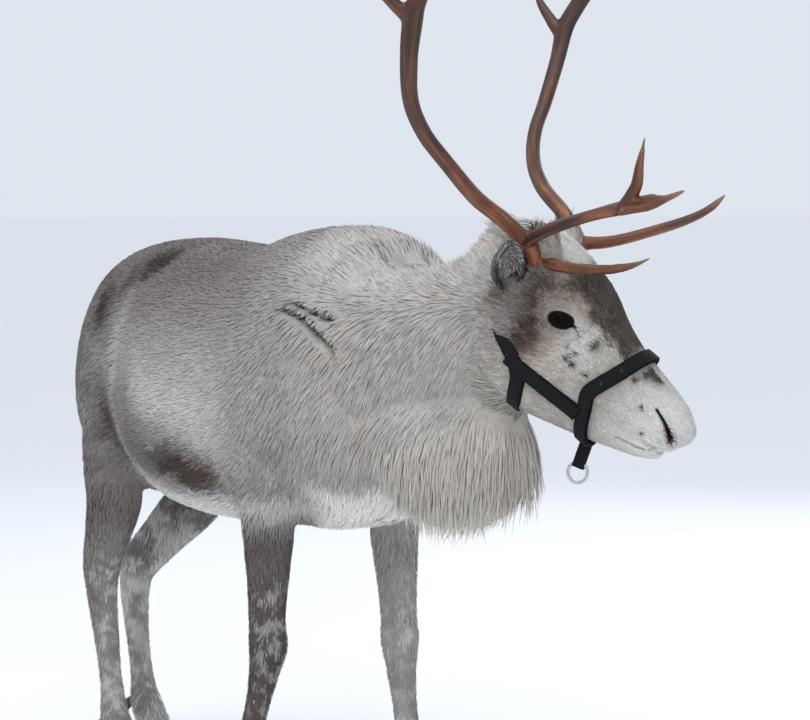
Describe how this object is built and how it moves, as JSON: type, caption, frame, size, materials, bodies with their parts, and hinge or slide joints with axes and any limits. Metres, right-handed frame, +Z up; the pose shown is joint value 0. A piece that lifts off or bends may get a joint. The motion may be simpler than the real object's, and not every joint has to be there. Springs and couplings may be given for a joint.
{
  "type": "life-size reindeer model",
  "caption": "Life-size standing reindeer in a slow walking pose, head turned to its left, with branching antlers, a long throat mane and a black webbing halter with a metal ring.",
  "frame": {"origin": "the middle of the whole model's footprint box at floor level, under the soles", "axes": "+X forward along the trunk, +Y towards the animal's left side, +Z up from the soles"},
  "size_m": [1.7768, 0.7346, 1.6379],
  "materials": {
    "antler": "hard antler, orange-brown with a fine grain",
    "coat": "dense short winter hair, grey-brown and cream",
    "eye": "dark, glossy and opaque",
    "hoof": "dark horn, satin",
    "mane": "long soft cream hair",
    "metal": "bright plated steel",
    "webbing": "black woven webbing with a soft lining"
  },
  "bodies": {
    "root": {"antler_back_tine_left": "antler", "antler_back_tine_right": "antler", "antler_beam_left": "antler", "antler_beam_right": "antler", "antler_bez_left": "antler", "antler_bez_right": "antler", "antler_brow_right": "antler", "antler_crown_left": "antler", "antler_crown_right": "antler", "cannon_front_left": "coat", "cannon_front_right": "coat", "cannon_hind_left": "coat", "cannon_hind_right": "coat", "ear_left": "coat", "ear_right": "coat", "eye_left": "eye", "eye_right": "eye", "forearm_front_left": "coat", "forearm_front_right": "coat", "halter_cheek_left": "webbing", "halter_cheek_right": "webbing", "halter_headpiece": "webbing", "halter_noseband": "webbing", "halter_ring": "metal", "halter_tab": "webbing", "head": "coat", "left_claw_front_left": "hoof", "left_claw_front_right": "hoof", "left_claw_hind_left": "hoof", "left_claw_hind_right": "hoof", "left_dewclaw_front_left": "hoof", "left_dewclaw_front_right": "hoof", "left_dewclaw_hind_left": "hoof", "left_dewclaw_hind_right": "hoof", "neck": "coat", "right_claw_front_left": "hoof", "right_claw_front_right": "hoof", "right_claw_hind_left": "hoof", "right_claw_hind_right": "hoof", "right_dewclaw_front_left": "hoof", "right_dewclaw_front_right": "hoof", "right_dewclaw_hind_left": "hoof", "right_dewclaw_hind_right": "hoof", "tail": "mane", "thigh_hind_left": "coat", "thigh_hind_right": "coat", "throat_mane": "mane", "trunk_front": "coat", "trunk_rear": "coat"}
  },
  "joints": []
}
